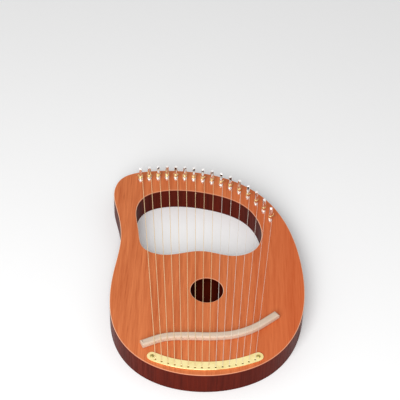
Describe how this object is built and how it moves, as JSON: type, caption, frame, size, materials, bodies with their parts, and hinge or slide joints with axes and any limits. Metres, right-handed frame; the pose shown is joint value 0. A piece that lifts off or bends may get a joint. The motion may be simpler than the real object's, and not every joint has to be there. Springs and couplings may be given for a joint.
{
  "type": "lyre harp",
  "caption": "Hollow wooden lyre harp with a window between its arms, a round sound hole, a waved bridge, a metal anchor plate and turning pins that tune its strings.",
  "frame": {"origin": "under the middle of the body, on the flat back that it lies on", "axes": "+Z out of the face, +Y along the strings towards the tuning pins, +X towards the short treble strings"},
  "size_m": [0.3, 0.424, 0.0665],
  "materials": {
    "face_wood": "satin clear lacquer on orange-brown mahogany",
    "side_wood": "satin dark red-brown stain on mahogany",
    "block_wood": "bare hardwood",
    "bridge_wood": "smooth pale maple",
    "plate_brass": "brushed, pale yellow",
    "screw_metal": "plated",
    "pin_nickel": "bright nickel plate",
    "wound_wire": "bronze wire wound on a steel core",
    "plain_wire": "plain bright steel wire"
  },
  "bodies": {
    "body": {"soundboard": "face_wood", "back_plate": "side_wood", "rim": "side_wood", "window_liner": "side_wood", "pin_block": "block_wood", "tail_block": "block_wood", "brace_upper": "block_wood", "brace_lower": "block_wood", "bridge": "bridge_wood", "anchor_plate": "plate_brass", "anchor_screw_left": "screw_metal", "anchor_screw_right": "screw_metal", "string_01": "wound_wire", "string_02": "wound_wire", "string_03": "wound_wire", "string_04": "wound_wire", "string_05": "wound_wire", "string_06": "wound_wire", "string_07": "wound_wire", "string_08": "wound_wire", "string_09": "wound_wire", "string_10": "plain_wire", "string_11": "plain_wire", "string_12": "plain_wire", "string_13": "plain_wire", "string_14": "plain_wire", "string_15": "plain_wire", "string_16": "plain_wire"},
    "pin_01": {"tuning_pin_01": "pin_nickel", "winding_01": "wound_wire"},
    "pin_02": {"tuning_pin_02": "pin_nickel", "winding_02": "wound_wire"},
    "pin_03": {"tuning_pin_03": "pin_nickel", "winding_03": "wound_wire"},
    "pin_04": {"tuning_pin_04": "pin_nickel", "winding_04": "wound_wire"},
    "pin_05": {"tuning_pin_05": "pin_nickel", "winding_05": "wound_wire"},
    "pin_06": {"tuning_pin_06": "pin_nickel", "winding_06": "wound_wire"},
    "pin_07": {"tuning_pin_07": "pin_nickel", "winding_07": "wound_wire"},
    "pin_08": {"tuning_pin_08": "pin_nickel", "winding_08": "wound_wire"},
    "pin_09": {"tuning_pin_09": "pin_nickel", "winding_09": "wound_wire"},
    "pin_10": {"tuning_pin_10": "pin_nickel", "winding_10": "plain_wire"},
    "pin_11": {"tuning_pin_11": "pin_nickel", "winding_11": "plain_wire"},
    "pin_12": {"tuning_pin_12": "pin_nickel", "winding_12": "plain_wire"},
    "pin_13": {"tuning_pin_13": "pin_nickel", "winding_13": "plain_wire"},
    "pin_14": {"tuning_pin_14": "pin_nickel", "winding_14": "plain_wire"},
    "pin_15": {"tuning_pin_15": "pin_nickel", "winding_15": "plain_wire"},
    "pin_16": {"tuning_pin_16": "pin_nickel", "winding_16": "plain_wire"}
  },
  "joints": [
    {"name": "pin_01_turn", "type": "hinge", "parent": "body", "child": "pin_01", "pos_m": [-0.10878, 0.18394, 0.038], "axis": [0, 0, 1], "continuous": true},
    {"name": "pin_02_turn", "type": "hinge", "parent": "body", "child": "pin_02", "pos_m": [-0.09487, 0.1872, 0.038], "axis": [0, 0, 1], "continuous": true},
    {"name": "pin_03_turn", "type": "hinge", "parent": "body", "child": "pin_03", "pos_m": [-0.08072, 0.18929, 0.038], "axis": [0, 0, 1], "continuous": true},
    {"name": "pin_04_turn", "type": "hinge", "parent": "body", "child": "pin_04", "pos_m": [-0.06645, 0.19049, 0.038], "axis": [0, 0, 1], "continuous": true},
    {"name": "pin_05_turn", "type": "hinge", "parent": "body", "child": "pin_05", "pos_m": [-0.05208, 0.19079, 0.038], "axis": [0, 0, 1], "continuous": true},
    {"name": "pin_06_turn", "type": "hinge", "parent": "body", "child": "pin_06", "pos_m": [-0.03762, 0.19026, 0.038], "axis": [0, 0, 1], "continuous": true},
    {"name": "pin_07_turn", "type": "hinge", "parent": "body", "child": "pin_07", "pos_m": [-0.02304, 0.18891, 0.038], "axis": [0, 0, 1], "continuous": true},
    {"name": "pin_08_turn", "type": "hinge", "parent": "body", "child": "pin_08", "pos_m": [-0.00834, 0.18661, 0.038], "axis": [0, 0, 1], "continuous": true},
    {"name": "pin_09_turn", "type": "hinge", "parent": "body", "child": "pin_09", "pos_m": [0.00649, 0.18311, 0.038], "axis": [0, 0, 1], "continuous": true},
    {"name": "pin_10_turn", "type": "hinge", "parent": "body", "child": "pin_10", "pos_m": [0.02137, 0.17814, 0.038], "axis": [0, 0, 1], "continuous": true},
    {"name": "pin_11_turn", "type": "hinge", "parent": "body", "child": "pin_11", "pos_m": [0.03618, 0.17136, 0.038], "axis": [0, 0, 1], "continuous": true},
    {"name": "pin_12_turn", "type": "hinge", "parent": "body", "child": "pin_12", "pos_m": [0.05074, 0.16254, 0.038], "axis": [0, 0, 1], "continuous": true},
    {"name": "pin_13_turn", "type": "hinge", "parent": "body", "child": "pin_13", "pos_m": [0.06479, 0.15141, 0.038], "axis": [0, 0, 1], "continuous": true},
    {"name": "pin_14_turn", "type": "hinge", "parent": "body", "child": "pin_14", "pos_m": [0.07788, 0.13763, 0.038], "axis": [0, 0, 1], "continuous": true},
    {"name": "pin_15_turn", "type": "hinge", "parent": "body", "child": "pin_15", "pos_m": [0.08968, 0.12113, 0.038], "axis": [0, 0, 1], "continuous": true},
    {"name": "pin_16_turn", "type": "hinge", "parent": "body", "child": "pin_16", "pos_m": [0.10009, 0.10199, 0.038], "axis": [0, 0, 1], "continuous": true}
  ]
}
